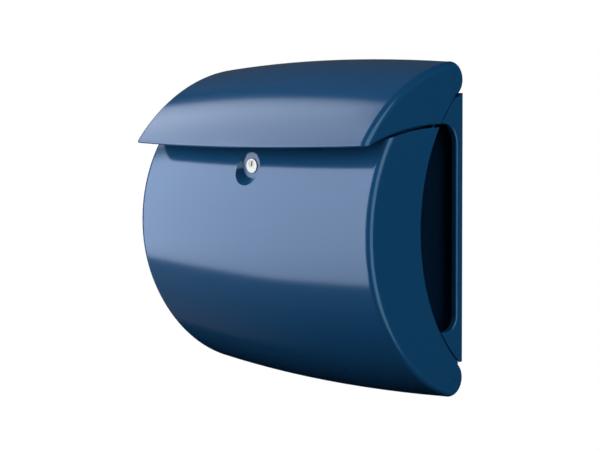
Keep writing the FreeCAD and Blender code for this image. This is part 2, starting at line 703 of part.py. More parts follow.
def make_housing():
    """The rear moulding: wall plate, flush side frames with the cut-out, cheeks and curled edges."""
    body = make_body("housing")
    neck = half_width - size("edge_round") - size("ear_clearance")
    top = size("frame_top")
    low = -size("frame_drop")
    neck_top = size("upper_pin_height") + 4.0
    neck_low = -size("lower_pin_drop") - 4.0
    plate_sketch = make_sketch(body, "plate_outline", "XZ_Plane", offset="sizes.wall_standoff")
    draw(plate_sketch, polygon([
        (half_width, low), (half_width, top), (neck, top), (neck, neck_top),
        (-neck, neck_top), (-neck, top), (-half_width, top), (-half_width, low),
        (-neck, low), (-neck, neck_low), (neck, neck_low), (neck, low),
    ]))
    pad(body, "wall_plate", plate_sketch, "sizes.plate_thickness")

    # Side frame: behind the parting circle, with the rounded cut-out
    rear = -size("wall_standoff")
    column = rear - size("column_width")
    cut_top = size("cutout_top")
    cut_low = -size("cutout_drop")
    upper_round = size("cutout_upper_round")
    lower_round = size("cutout_lower_round")
    corner_top = (circle_y(parting_centre, frame_edge_radius, top), top)
    corner_low = (circle_y(parting_centre, frame_edge_radius, low), low)
    lip_top = (circle_y(parting_centre, frame_edge_radius, cut_top), cut_top)
    lip_low = (circle_y(parting_centre, frame_edge_radius, cut_low), cut_low)
    upper_corner = (column - upper_round, cut_top - upper_round)
    lower_corner = (column - lower_round, cut_low + lower_round)
    frame_sketch = make_sketch(body, "side_frame_outline", "YZ_Plane",
                               offset="sizes.body_width / 2 - sizes.skin")
    draw(frame_sketch, [
        line((rear, low), (rear, top)),
        line((rear, top), corner_top),
        arc(parting_centre, frame_edge_radius, angle_at(parting_centre, corner_top),
            angle_at(parting_centre, lip_top)),
        line(lip_top, (upper_corner[0], cut_top)),
        arc(upper_corner, upper_round, 0.0, 90.0),
        line((column, upper_corner[1]), (column, lower_corner[1])),
        arc(lower_corner, lower_round, 270.0, 360.0),
        line((lower_corner[0], cut_low), lip_low),
        arc(parting_centre, frame_edge_radius, angle_at(parting_centre, lip_low),
            angle_at(parting_centre, corner_low)),
        line(corner_low, (rear, low)),
    ])
    side_frame = pad(body, "side_frame", frame_sketch, "sizes.skin")
    doc.recompute()
    mirror_across_yz(body, "side_frames", [side_frame])

    # The frames' upper corners leave room for the lid's ears
    cheek_circles(body, "ear_relief", "sizes.body_width / 2", "sizes.ear_radius + sizes.parting_gap / 2",
                  "sizes.edge_round + sizes.ear_clearance", True)

    # A rim inside the side frame stiffens the cut-out's edge
    skin = size("skin")
    rim_top = (circle_y(parting_centre, frame_edge_radius, cut_top + skin), cut_top + skin)
    rim_low = (circle_y(parting_centre, frame_edge_radius, cut_low - skin), cut_low - skin)
    rim_sketch = make_sketch(body, "cutout_rim_outline", "YZ_Plane",
                             offset="sizes.body_width / 2 - sizes.cutout_rim")
    draw(rim_sketch, [
        line(lip_top, (upper_corner[0], cut_top)),
        arc(upper_corner, upper_round, 0.0, 90.0),
        line((column, upper_corner[1]), (column, lower_corner[1])),
        arc(lower_corner, lower_round, 270.0, 360.0),
        line((lower_corner[0], cut_low), lip_low),
        arc(parting_centre, frame_edge_radius, angle_at(parting_centre, lip_low),
            angle_at(parting_centre, rim_low)),
        line(rim_low, (lower_corner[0], rim_low[1])),
        arc(lower_corner, lower_round + skin, 270.0, 360.0),
        line((column + skin, lower_corner[1]), (column + skin, upper_corner[1])),
        arc(upper_corner, upper_round + skin, 0.0, 90.0),
        line((upper_corner[0], rim_top[1]), rim_top),
        arc(parting_centre, frame_edge_radius, angle_at(parting_centre, rim_top),
            angle_at(parting_centre, lip_top)),
    ])
    rim = pad(body, "cutout_rim", rim_sketch, "sizes.cutout_rim")
    doc.recompute()
    mirror_across_yz(body, "cutout_rims", [rim])

    def cutout_edge(edge):
        box = edge.BoundBox
        on_side = box.XLength < 1e-6 and abs(abs(box.XMin) - half_width) < 1e-6
        inside = box.ZMin > cut_low - 1e-6 and box.ZMax < cut_top + 1e-6
        return on_side and inside and box.YMax < column + 1e-6
    fillet_edges(body, "cutout_rounds", "sizes.skin * 0.9", cutout_edge)

    def rear_edge(edge):
        box = edge.BoundBox
        upright = box.XLength < 1e-6 and box.YLength < 1e-6
        return upright and abs(abs(box.XMin) - half_width) < 1e-6 and abs(box.YMin - rear) < 1e-6
    fillet_edges(body, "rear_rounds", "sizes.skin * 0.5", rear_edge)

    # Cheeks beside the ears carry the pins
    inner_offset = "sizes.body_width / 2 - sizes.edge_round - sizes.ear_clearance - sizes.cheek_thickness"
    outer_offset = "sizes.body_width / 2 - sizes.edge_round - sizes.ear_clearance"
    cheek_circles(body, "cheek_disc", inner_offset, "sizes.cheek_radius", "sizes.cheek_thickness", False)
    plate_front = rear - size("plate_thickness")
    root = plate_front + size("plate_thickness") / 2.0
    upper_y, upper_z = upper_pin
    lower_y, lower_z = lower_pin
    web_sketch = make_sketch(body, "cheek_webs", "YZ_Plane", offset=inner_offset)
    reach = size("web_reach")
    drop = size("web_drop")
    edge_lap = size("cheek_thickness")
    disc_lap = size("cheek_radius") * 0.35
    draw(web_sketch, polygon([
        (root, cut_top + edge_lap), (root, upper_z), (upper_y, upper_z + disc_lap),
        (upper_y - reach * 0.58, upper_z - drop * 0.06), (upper_y - reach, upper_z - drop * 0.56),
        (upper_y - reach * 0.88, upper_z - drop),
    ]))
    draw(web_sketch, polygon([
        (root, cut_low - edge_lap), (root, lower_z), (lower_y, lower_z - disc_lap),
        (lower_y - reach * 0.5, lower_z + drop * 0.06), (lower_y - reach * 0.85, lower_z + drop * 0.48),
        (lower_y - reach * 0.58, lower_z + drop * 0.96),
    ]))
    web = pad(body, "cheek_web", web_sketch, "sizes.cheek_thickness")
    doc.recompute()
    mirror_across_yz(body, "cheek_web_pair", [web])
    cheek_circles(body, "pin_bore", outer_offset, "sizes.pin_diameter / 2 + sizes.running_fit",
                  "sizes.cheek_thickness", True)

    # Curled upper and lower edges close the box behind the lid and the door
    roll_sketch = make_sketch(body, "rolls", "YZ_Plane")
    draw(roll_sketch, roll_outline(upper_pin, 1))
    draw(roll_sketch, roll_outline(lower_pin, -1))
    pad(body, "curled_edges", roll_sketch,
        "sizes.body_width - 2 * (sizes.edge_round + sizes.ear_clearance + sizes.cheek_thickness / 2)",
        middle=True)

    # Pads stand the plate off the wall round its four fixing holes
    pad_sketch = make_sketch(body, "pad_circles", "XZ_Plane")
    for across, up in FIXING_CORNERS:
        draw_circle(pad_sketch, fixing_place(across, up), "sizes.pad_diameter / 2",
                    fixing_expressions(across, up))
    pad(body, "wall_pads", pad_sketch, "sizes.wall_standoff")
    hole_sketch = make_sketch(body, "fixing_circles", "XZ_Plane",
                              offset="sizes.wall_standoff + sizes.plate_thickness")
    for across, up in FIXING_CORNERS:
        draw_circle(hole_sketch, fixing_place(across, up), "sizes.fixing_hole / 2",
                    fixing_expressions(across, up))
    pocket(body, "fixing_holes", hole_sketch, "sizes.wall_standoff + sizes.plate_thickness")
    frame_screw_holes(body, inner_offset, "sizes.cheek_thickness",
                      "sizes.frame_screw_diameter / 2 + sizes.running_fit")
    doc.recompute()
    return body


FIXING_CORNERS = [(-1, -1), (-1, 1), (1, -1), (1, 1)]


def fixing_place(across, up):
    """One corner of the fixing pattern, as (x, z)."""
    return across * size("fixing_spacing_x") / 2.0, up * size("fixing_spacing_z") / 2.0


def fixing_expressions(across, up):
    return ("%d * sizes.fixing_spacing_x / 2" % across, "%d * sizes.fixing_spacing_z / 2" % up)


FRAME_SCREW_SHARES = [(0.54, 0.44), (0.81, 0.6)]


def frame_screw_points():
    """Where the slot frame's screws go on each cheek's web, as (y, z)."""
    return [(upper_pin[0] - size("web_reach") * back, upper_pin[1] - size("web_drop") * down)
            for back, down in FRAME_SCREW_SHARES]


def frame_screw_holes(body, offset, length, radius):
    """Holes for the slot frame's screws, on both sides."""
    sketch = make_sketch(body, "frame_screw_circles", "YZ_Plane", offset=offset)
    for point in frame_screw_points():
        draw_circle(sketch, point, radius, ("%r" % point[0], "%r" % point[1]))
    holes = pocket(body, "frame_screw_hole", sketch, length, reverse=True)
    mirror_across_yz(body, "frame_screw_hole_pair", [holes])


def make_inner_wall():
    """The curved wall behind the letters, with four wells that reach the wall plate."""
    body = make_body("inner_wall")
    rear_radius = parting_radius + size("inner_wall_lap")
    front_radius = rear_radius + size("inner_wall_skin")
    plate_front = -size("wall_standoff") - size("plate_thickness")
    reach = plate_front - parting_centre[0]
    turn = math.degrees(math.acos(-reach / front_radius))
    rear_turn = math.degrees(math.acos(-reach / rear_radius))
    wall = make_sketch(body, "wall_arc", "YZ_Plane")
    front_top = polar(parting_centre, front_radius, 180.0 - turn)
    rear_top = polar(parting_centre, rear_radius, 180.0 - rear_turn)
    front_low = polar(parting_centre, front_radius, 180.0 + turn)
    rear_low = polar(parting_centre, rear_radius, 180.0 + rear_turn)
    draw(wall, [
        arc(parting_centre, front_radius, 180.0 - turn, 180.0 + turn),
        line(front_low, rear_low),
        arc(parting_centre, rear_radius, 180.0 - rear_turn, 180.0 + rear_turn),
        line(rear_top, front_top),
    ])
    pad(body, "curved_wall", wall, "sizes.body_width - 2 * (sizes.skin + sizes.inner_wall_side_gap)",
        middle=True)

    # Shoulders: the wall is narrower beside the cheeks
    shoulder_x = (half_width - size("edge_round") - size("ear_clearance")
                  - size("cheek_thickness") - size("seat_gap"))
    wide = half_width * 1.1
    tall = size("upper_pin_height") * 1.3
    upper = size("cutout_top") + 1.0
    lower = -size("cutout_drop") - 1.0
    notch = make_sketch(body, "shoulder_outline", "XZ_Plane")
    for side in (-1, 1):
        for near, far in ((upper, tall), (lower, -tall)):
            draw(notch, polygon([(side * shoulder_x, near), (side * wide, near),
                                 (side * wide, far), (side * shoulder_x, far)]))
    pocket(body, "shoulders", notch, "sizes.parting_depth * 2", reverse=True)

    wells = make_sketch(body, "well_circles", "XZ_Plane",
                        offset="sizes.wall_standoff + sizes.plate_thickness")
    for across, up in FIXING_CORNERS:
        draw_circle(wells, fixing_place(across, up), "sizes.well_outer / 2",
                    fixing_expressions(across, up))
    pad(body, "well_tubes", wells, "sizes.parting_depth")

    # The tubes end at the wall's front face
    trim = make_sketch(body, "trim_arc", "YZ_Plane")
    far = front_radius + size("parting_depth")
    draw(trim, [
        arc(parting_centre, front_radius, 180.0 - turn, 180.0 + turn),
        line(front_low, polar(parting_centre, far, 180.0 + turn)),
        arc(parting_centre, far, 180.0 - turn, 180.0 + turn),
        line(polar(parting_centre, far, 180.0 - turn), front_top),
    ])
    pocket(body, "tube_trim", trim, "sizes.body_width * 1.1", middle=True)
    bores = make_sketch(body, "well_bores", "XZ_Plane",
                        offset="sizes.parting_depth + sizes.inner_wall_skin")
    for across, up in FIXING_CORNERS:
        draw_circle(bores, fixing_place(across, up), "sizes.well_inner / 2",
                    fixing_expressions(across, up))
    pocket(body, "well_hollows", bores, "sizes.parting_depth + sizes.inner_wall_skin"
           " - sizes.wall_standoff - sizes.plate_thickness - sizes.well_floor")
    holes = make_sketch(body, "well_hole_circles", "XZ_Plane",
                        offset="sizes.wall_standoff + sizes.plate_thickness + sizes.well_floor")
    for across, up in FIXING_CORNERS:
        draw_circle(holes, fixing_place(across, up), "sizes.fixing_hole / 2",
                    fixing_expressions(across, up))
    pocket(body, "well_holes", holes, "sizes.well_floor * 2")
    doc.recompute()
    return body


# The plug sits a little inside the barrel's face, and its tail keeps the cam clear of it
PLUG_INSET = 0.2
PLUG_TAIL_GAP = 0.3


def make_slot_frame():
    """The deck under the lid, with the letter slot, its front rail and the lock's keeper."""
    body = make_body("slot_frame")
    skin = size("deck_skin")
    outer_radius = lid_arc_radius - size("deck_drop")
    inner_radius = outer_radius - skin
    rail_front = -size("rail_depth")
    rail_rear = rail_front + skin
    clear = size("cheek_radius") + size("seat_gap")
    rear_outer = circles_meet(lid_centre, outer_radius, upper_pin, clear, 1)
    rear_inner = circles_meet(lid_centre, inner_radius, upper_pin, clear, 1)
    front_outer = (rail_front, lid_centre[1] + math.sqrt(outer_radius ** 2 - (rail_front - lid_centre[0]) ** 2))
    front_inner = (rail_rear, lid_centre[1] + math.sqrt(inner_radius ** 2 - (rail_rear - lid_centre[0]) ** 2))
    foot = size("rail_foot_height")
    profile = make_sketch(body, "deck_outline", "YZ_Plane")
    draw(profile, [
        arc(lid_centre, outer_radius, angle_at(lid_centre, rear_outer), angle_at(lid_centre, front_outer)),
        line(front_outer, (rail_front, foot)),
        line((rail_front, foot), (rail_rear, foot)),
        line((rail_rear, foot), front_inner),
        arc(lid_centre, inner_radius, angle_at(lid_centre, rear_inner), angle_at(lid_centre, front_inner)),
        line(rear_inner, rear_outer),
    ])
    across = ("sizes.body_width - 2 * (sizes.edge_round + sizes.ear_clearance"
              " + sizes.cheek_thickness + sizes.seat_gap)")
    pad(body, "deck", profile, across, middle=True)

    # Side flanges, screwed to the housing's cheeks
    flange_offset = ("sizes.body_width / 2 - sizes.edge_round - sizes.ear_clearance"
                     " - sizes.cheek_thickness - sizes.seat_gap - sizes.deck_skin")
    wall_front = parting_radius + size("inner_wall_lap") + size("inner_wall_skin") + size("seat_gap")
    rear_low = circles_meet(parting_centre, wall_front, upper_pin, clear, 1)
    if rear_low[0] > upper_pin[0]:
        rear_low = circles_meet(parting_centre, wall_front, upper_pin, clear, -1)
    wall_low_z = foot + size("flange_sweep")
    wall_low = (circle_y(parting_centre, wall_front, wall_low_z), wall_low_z)
    mid_radius = outer_radius - skin / 2.0
    flange_rear = circles_meet(lid_centre, mid_radius, upper_pin, clear, 1)
    flange_front = (rail_front + skin / 2.0, lid_centre[1] + math.sqrt(
        mid_radius ** 2 - (rail_front + skin / 2.0 - lid_centre[0]) ** 2))
    flange = make_sketch(body, "flange_outline", "YZ_Plane", offset=flange_offset)
    draw(flange, [
        arc(lid_centre, mid_radius, angle_at(lid_centre, flange_rear), angle_at(lid_centre, flange_front)),
        line(flange_front, (flange_front[0], foot)),
        line((flange_front[0], foot), wall_low),
        arc(parting_centre, wall_front, angle_at(parting_centre, rear_low), angle_at(parting_centre, wall_low)),
        arc(upper_pin, clear, angle_at(upper_pin, flange_rear), angle_at(upper_pin, rear_low)),
    ])
    side = pad(body, "side_flange", flange, "sizes.deck_skin")
    doc.recompute()
    mirror_across_yz(body, "side_flanges", [side])

    # Letter slot: a window square to the deck, just behind the rail
    slot_front = angle_at(lid_centre, front_outer) - math.degrees(3.0 * skin / outer_radius)
    slot_turn = math.degrees(size("slot_height") / outer_radius)
    slot_rear = slot_front - slot_turn
    slot = make_sketch(body, "slot_outline", "YZ_Plane")
    low_radius = inner_radius - skin
    high_radius = outer_radius + skin
    draw(slot, [
        arc(lid_centre, high_radius, slot_rear, slot_front),
        line(polar(lid_centre, high_radius, slot_front), polar(lid_centre, low_radius, slot_front)),
        arc(lid_centre, low_radius, slot_rear, slot_front),
        line(polar(lid_centre, low_radius, slot_rear), polar(lid_centre, high_radius, slot_rear)),
    ])
    pocket(body, "letter_slot", slot, "sizes.slot_width", middle=True)

    # Keeper: a stepped tab in front of the rail that the cam turns up behind
    cam_front = size("lock_body_length") + PLUG_TAIL_GAP - size("lock_floor_depth")
    keeper_rear = cam_front - size("keeper_gap")
    keeper_front = keeper_rear - size("keeper_skin")
    keeper = make_sketch(body, "keeper_outline", "YZ_Plane")
    draw(keeper, polygon([
        (keeper_front, size("keeper_foot_height")), (keeper_rear, size("keeper_foot_height")),
        (keeper_rear, foot), (rail_rear, foot), (rail_rear, foot + size("keeper_skin")),
        (keeper_front, foot + size("keeper_skin")),
    ]))
    pad(body, "keeper", keeper, "sizes.keeper_width", middle=True)
    frame_screw_holes(body, flange_offset, "sizes.deck_skin", "sizes.frame_screw_diameter / 2 + 0.2")
    doc.recompute()
    return body


def make_pin(name, side, height_expression):
    """One hinge pin, flush in the ear and through the cheek."""
    pin = doc.addObject("Part::Cylinder", name)
    pin.Label = name
    pin.setExpression("Radius", "sizes.pin_diameter / 2")
    pin.setExpression("Height", "sizes.edge_round + sizes.ear_clearance + sizes.cheek_thickness"
                      " - sizes.pin_inset")
    pin.Placement = Placement(Vector(0, 0, 0), Rotation(Vector(0, 1, 0), 90.0 * side))
    pin.setExpression("Placement.Base.x", "%d * (sizes.body_width / 2 - sizes.edge_round"
                      " - sizes.ear_clearance - sizes.cheek_thickness)" % side)
    pin.setExpression("Placement.Base.y", "-sizes.pin_setback")
    pin.setExpression("Placement.Base.z", height_expression)
    doc.recompute()
    return pin


def make_lock_barrel():
    """The lock's plated body: rounded head, flatted shank, plug bore and clip grooves."""
    body = make_body("lock_barrel")
    floor_depth = size("lock_floor_depth")
    head_front = floor_depth + size("lock_head_proud")
    head_radius = size("lock_head_diameter") / 2.0
    body_radius = size("lock_body_diameter") / 2.0
    outline = make_sketch(body, "barrel_outline", "YZ_Plane", rise="sizes.lock_height")
    rear = floor_depth - size("lock_body_length")
    draw(outline, polygon([(-head_front, 0.0), (-head_front, head_radius), (-floor_depth, head_radius),
                           (-floor_depth, body_radius), (-rear, body_radius), (-rear, 0.0)]))
    revolve(body, "turned_body", outline)

    flat = size("lock_flat_width") / 2.0
    flats = make_sketch(body, "flat_outline", "XZ_Plane", rise="sizes.lock_height",
                        offset="sizes.lock_floor_depth")
    for side in (-1, 1):
        draw(flats, polygon([(side * flat, -head_radius), (side * head_radius, -head_radius),
                             (side * head_radius, head_radius), (side * flat, head_radius)]))
    pocket(body, "flats", flats, "sizes.lock_body_length", reverse=False)

    groove_x = flat - size("lock_groove_depth")
    groove = make_sketch(body, "groove_outline", "XZ_Plane", rise="sizes.lock_height",
                         offset="sizes.lock_floor_depth - sizes.lock_floor_skin")
    for side in (-1, 1):
        draw(groove, polygon([(side * groove_x, -head_radius), (side * head_radius, -head_radius),
                              (side * head_radius, head_radius), (side * groove_x, head_radius)]))
    pocket(body, "clip_grooves", groove, "sizes.clip_thickness + sizes.running_fit")

    bore = make_sketch(body, "bore_circle", "XZ_Plane", rise="sizes.lock_height",
                       offset="sizes.lock_floor_depth + sizes.lock_head_proud")
    draw_circle(bore, (0.0, size("plug_rise")), "sizes.plug_diameter / 2 + sizes.running_fit",
                ("0", "sizes.plug_rise"))
    pocket(body, "plug_bore", bore, "sizes.lock_head_proud + sizes.lock_body_length")

    def front_rim(edge):
        box = edge.BoundBox
        flat_edge = box.YLength < 1e-6 and abs(box.YMin + head_front) < 1e-6
        return flat_edge and abs(box.XLength - 2.0 * head_radius) < 1e-4
    fillet_edges(body, "head_round", "sizes.lock_head_proud * 0.8", front_rim)
    return body


def make_lock_plug():
    """The plug that the key turns: keyway in front, square tail for the cam behind."""
    body = make_body("lock_plug")
    turned = make_sketch(body, "plug_circle", "XZ_Plane", rise="sizes.lock_height",
                         offset="sizes.lock_floor_depth - sizes.lock_body_length")
    draw_circle(turned, (0.0, size("plug_rise")), "sizes.plug_diameter / 2", ("0", "sizes.plug_rise"))
    pad(body, "plug_body", turned, "sizes.lock_body_length + sizes.lock_head_proud - %r" % PLUG_INSET)
    half = size("tail_width") / 2.0
    centre = size("plug_rise")
    tail = make_sketch(body, "tail_outline", "XZ_Plane", rise="sizes.lock_height",
                       offset="sizes.lock_floor_depth - sizes.lock_body_length")
    draw(tail, polygon([(-half, centre - half), (half, centre - half),
                        (half, centre + half), (-half, centre + half)]))
    pad(body, "plug_tail", tail, "sizes.cam_thickness + %r" % PLUG_TAIL_GAP, reverse=True)
    slot_half = size("keyway_width") / 2.0
    slot_reach = size("keyway_height") / 2.0
    step = slot_half * 0.9
    keyway = make_sketch(body, "keyway_outline", "XZ_Plane", rise="sizes.lock_height",
                         offset="sizes.lock_floor_depth + sizes.lock_head_proud - %r" % PLUG_INSET)
    draw(keyway, polygon([
        (-slot_half, centre - slot_reach), (slot_half, centre - slot_reach),
        (slot_half, centre - slot_half), (slot_half + step, centre),
        (slot_half + step, centre + slot_reach), (-slot_half + step, centre + slot_reach),
        (-slot_half + step, centre + slot_half), (-slot_half, centre),
    ]))
    pocket(body, "keyway", keyway, "sizes.lock_body_length * 0.7")
    screw = make_sketch(body, "screw_circle", "XZ_Plane", rise="sizes.lock_height",
                        offset="sizes.lock_floor_depth - sizes.lock_body_length"
                        " - sizes.cam_thickness - %r" % PLUG_TAIL_GAP)
    draw_circle(screw, (0.0, centre), "sizes.cam_screw_diameter / 2 + sizes.running_fit",
                ("0", "sizes.plug_rise"))
    pocket(body, "screw_hole", screw, "sizes.cam_thickness * 3", reverse=True)
    doc.recompute()
    return body


def make_lock_cam():
    """The lever on the plug's tail; at rest it lies sideways, clear of the keeper."""
    body = make_body("lock_cam")
    centre = (0.0, size("plug_rise"))
    hub = size("tail_width") * 1.15
    tip_radius = size("cam_width") / 2.0
    tip = (-(size("cam_length") - tip_radius), centre[1])
    fit = size("running_fit")
    tail_half = size("tail_width") / 2.0 + fit
    turn = math.degrees(math.acos((hub - tip_radius) / -tip[0]))
    outline = make_sketch(body, "cam_outline", "XZ_Plane", rise="sizes.lock_height",
                          offset="sizes.lock_floor_depth - sizes.lock_body_length - %r" % PLUG_TAIL_GAP)
    draw(outline, [
        arc(centre, hub, 180.0 + turn, 540.0 - turn),
        line(polar(centre, hub, 180.0 - turn), polar(tip, tip_radius, 180.0 - turn)),
        arc(tip, tip_radius, 180.0 - turn, 180.0 + turn),
        line(polar(tip, tip_radius, 180.0 + turn), polar(centre, hub, 180.0 + turn)),
    ])
    pad(body, "cam_plate", outline, "sizes.cam_thickness", reverse=True)
    hole = make_sketch(body, "cam_hole", "XZ_Plane", rise="sizes.lock_height",
                       offset="sizes.lock_floor_depth - sizes.lock_body_length - %r" % PLUG_TAIL_GAP)
    draw(hole, polygon([(-tail_half, centre[1] - tail_half), (tail_half, centre[1] - tail_half),
                        (tail_half, centre[1] + tail_half), (-tail_half, centre[1] + tail_half)]))
    pocket(body, "square_hole", hole, "sizes.cam_thickness", reverse=False)
    doc.recompute()
    return body


def make_cam_screw():
    """The screw that holds the cam on the plug."""
    body = make_body("cam_screw")
    head_front = "sizes.lock_floor_depth - sizes.lock_body_length - sizes.cam_thickness - %r" % PLUG_TAIL_GAP
    head = make_sketch(body, "head_circle", "XZ_Plane", rise="sizes.lock_height", offset=head_front)
    draw_circle(head, (0.0, size("plug_rise")), "sizes.cam_screw_diameter * 1.15", ("0", "sizes.plug_rise"))
    pad(body, "screw_head", head, "sizes.cam_screw_diameter * 0.65", reverse=True)
    shank = make_sketch(body, "shank_circle", "XZ_Plane", rise="sizes.lock_height", offset=head_front)
    draw_circle(shank, (0.0, size("plug_rise")), "sizes.cam_screw_diameter / 2", ("0", "sizes.plug_rise"))
    pad(body, "screw_shank", shank, "sizes.cam_thickness * 2.8")
    doc.recompute()
    return body


def make_lock_clip():
    """The horseshoe clip in the barrel's grooves, flat behind the door's seat."""
    body = make_body("lock_clip")
    half = size("lock_flat_width") / 2.0 - size("lock_groove_depth") + size("running_fit")
    outer = size("lock_body_diameter") / 2.0 + 4.0
    top = size("lock_body_diameter") / 2.0 + 1.0
    foot = -outer
    sketch = make_sketch(body, "clip_outline", "XZ_Plane", rise="sizes.lock_height",
                         offset="sizes.lock_floor_depth - sizes.lock_floor_skin")
    draw(sketch, [
        arc((0.0, 0.0), outer, 0.0, 180.0),
        line((-outer, 0.0), (-outer, foot)),
        line((-outer, foot), (-half, foot)),
        line((-half, foot), (-half, top)),
        line((-half, top), (half, top)),
        line((half, top), (half, foot)),
        line((half, foot), (outer, foot)),
        line((outer, foot), (outer, 0.0)),
    ])
    pad(body, "clip_plate", sketch, "sizes.clip_thickness", reverse=True)
    doc.recompute()
    return body


def make_frame_screws():
    """Four screws through the slot frame's flanges into the cheeks, as one group."""
    flange_inner = (half_width - size("edge_round") - size("ear_clearance") - size("cheek_thickness")
                    - size("seat_gap") - size("deck_skin"))
    diameter = size("frame_screw_diameter")
    solids = []
    for side in (-1, 1):
        for y, z in frame_screw_points():
            along = Vector(side, 0, 0)
            start = Vector(side * flange_inner, y, z)
            head = Part.makeCylinder(diameter, diameter * 0.6, start, along * -1)
            shank = Part.makeCylinder(diameter / 2.0, size("deck_skin") + size("seat_gap")
                                      + size("cheek_thickness"), start, along)
            solids.append(head.fuse(shank).removeSplitter())
    group = doc.addObject("Part::Feature", "frame_screws")
    group.Label = "frame_screws"
    group.Shape = Part.makeCompound(solids)
    return group


def write_parts(pieces):
    """Checks every object and writes each sub-part's shape to its own file."""
    doc.recompute()
    for thing in doc.Objects:
        if "Invalid" in thing.State or "Error" in thing.State:
            raise RuntimeError("failed object: " + thing.Label)
    for piece in pieces:
        if piece.Shape.isNull() or not piece.Shape.isValid():
            raise RuntimeError("bad shape: " + piece.Label)
    os.makedirs("parts", exist_ok=True)
    for piece in pieces:
        piece.Shape.exportStep("parts/%s.step" % piece.Label)


write_parts([
    make_lid(),
    make_door(),
    make_housing(),
    make_inner_wall(),
    make_slot_frame(),
    make_pin("lid_pin_left", -1, "sizes.upper_pin_height"),
    make_pin("lid_pin_right", 1, "sizes.upper_pin_height"),
    make_pin("door_pin_left", -1, "-sizes.lower_pin_drop"),
    make_pin("door_pin_right", 1, "-sizes.lower_pin_drop"),
    make_lock_barrel(),
    make_lock_plug(),
    make_lock_cam(),
    make_cam_screw(),
    make_lock_clip(),
    make_frame_screws(),
])
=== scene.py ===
# %% [markdown]
# A post box for a wall, dressed for its portrait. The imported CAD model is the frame: every
# piece keeps its place and its shape, and this script gives it a finish, a stage, lights and
# a camera. The frame holds every part of the box that can be seen, so none is added here.

# %% Load the frame
import math

import bpy
import numpy as np
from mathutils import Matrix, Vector


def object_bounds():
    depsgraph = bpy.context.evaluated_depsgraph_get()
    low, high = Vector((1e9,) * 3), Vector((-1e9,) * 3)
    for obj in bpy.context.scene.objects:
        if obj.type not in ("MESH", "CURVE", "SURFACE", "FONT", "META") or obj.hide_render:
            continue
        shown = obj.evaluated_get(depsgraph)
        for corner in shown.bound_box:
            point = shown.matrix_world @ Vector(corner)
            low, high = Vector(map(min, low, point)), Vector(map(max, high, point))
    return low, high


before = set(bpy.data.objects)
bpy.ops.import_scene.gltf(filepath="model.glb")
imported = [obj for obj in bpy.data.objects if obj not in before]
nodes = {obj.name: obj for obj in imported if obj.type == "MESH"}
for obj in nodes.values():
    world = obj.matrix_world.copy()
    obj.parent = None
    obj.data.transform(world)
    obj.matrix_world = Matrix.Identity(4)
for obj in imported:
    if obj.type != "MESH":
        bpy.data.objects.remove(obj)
cad_low, cad_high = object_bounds()
print("CAD box in mm:", [round(1000 * (b - a), 1) for a, b in zip(cad_low, cad_high)])

# %% [markdown]
# Colours are written as a designer would read them off a chart, in sRGB hex. The renderer
# works in linear light, so one function turns them. Another adds a node with its settings
# and links, so each finish below reads as a short list.

# %% Helpers for finishes


def linear(hex_colour):
    """Linear RGBA of an sRGB hex colour: the sRGB curve undone channel by channel."""
    channels = [int(hex_colour[i:i + 2], 16) / 255 for i in (1, 3, 5)]
    turned = [c / 12.92 if c <= 0.04045 else ((c + 0.055) / 1.055) ** 2.4 for c in channels]
    return (*turned, 1.0)


def add_node(tree, kind, settings=None, values=None, links=None):
    """Adds a node; settings are its properties, values its sockets, links (socket, output)."""
    node = tree.nodes.new(kind)
    for name, value in (settings or {}).items():
        setattr(node, name, value)
    for name, value in (values or {}).items():
        node.inputs[name].default_value = value
    for name, output in (links or {}).items():
        tree.links.new(output, node.inputs[name])
    return node


def new_material(name):
    """An empty node material and its tree."""
    made = bpy.data.materials.new(name)
    made.use_nodes = True
    made.node_tree.nodes.clear()
    return made, made.node_tree


def finish_material(tree, shader):
    """Ends a tree: the shader goes to the surface."""
    add_node(tree, "ShaderNodeOutputMaterial", links={"Surface": shader.outputs["BSDF"]})


MILLIMETRE = 0.001
DRIFT_DETAIL = 2.0
PETROL = "#1F4E6C"
print("petrol blue in linear light:", [round(c, 3) for c in linear(PETROL)[:3]])

# %% [markdown]
# The box is ABS, injection moulded in one deep petrol blue and left semi-gloss by a polished
# mould. The colour is in the plastic, so it is even. What the eye reads is the clear
# reflection of the lights, softened by a very faint skin with a grain of about 3 mm. A mould
# leaves no sharp edge, so the shading rounds each one by 0.7 mm, and it catches a light line.

# %% Moulded ABS
EDGE_ROUND = 0.7 * MILLIMETRE
EDGE_SAMPLES = 4
SKIN_GRAIN = 3 * MILLIMETRE
SKIN_HEIGHT = 0.1 * MILLIMETRE
SKIN_STRENGTH = 0.02
SKIN_DETAIL = 3.0
ABS_DRIFT = 40 * MILLIMETRE
ABS_SPREAD = 0.1
ABS_IOR = 1.53


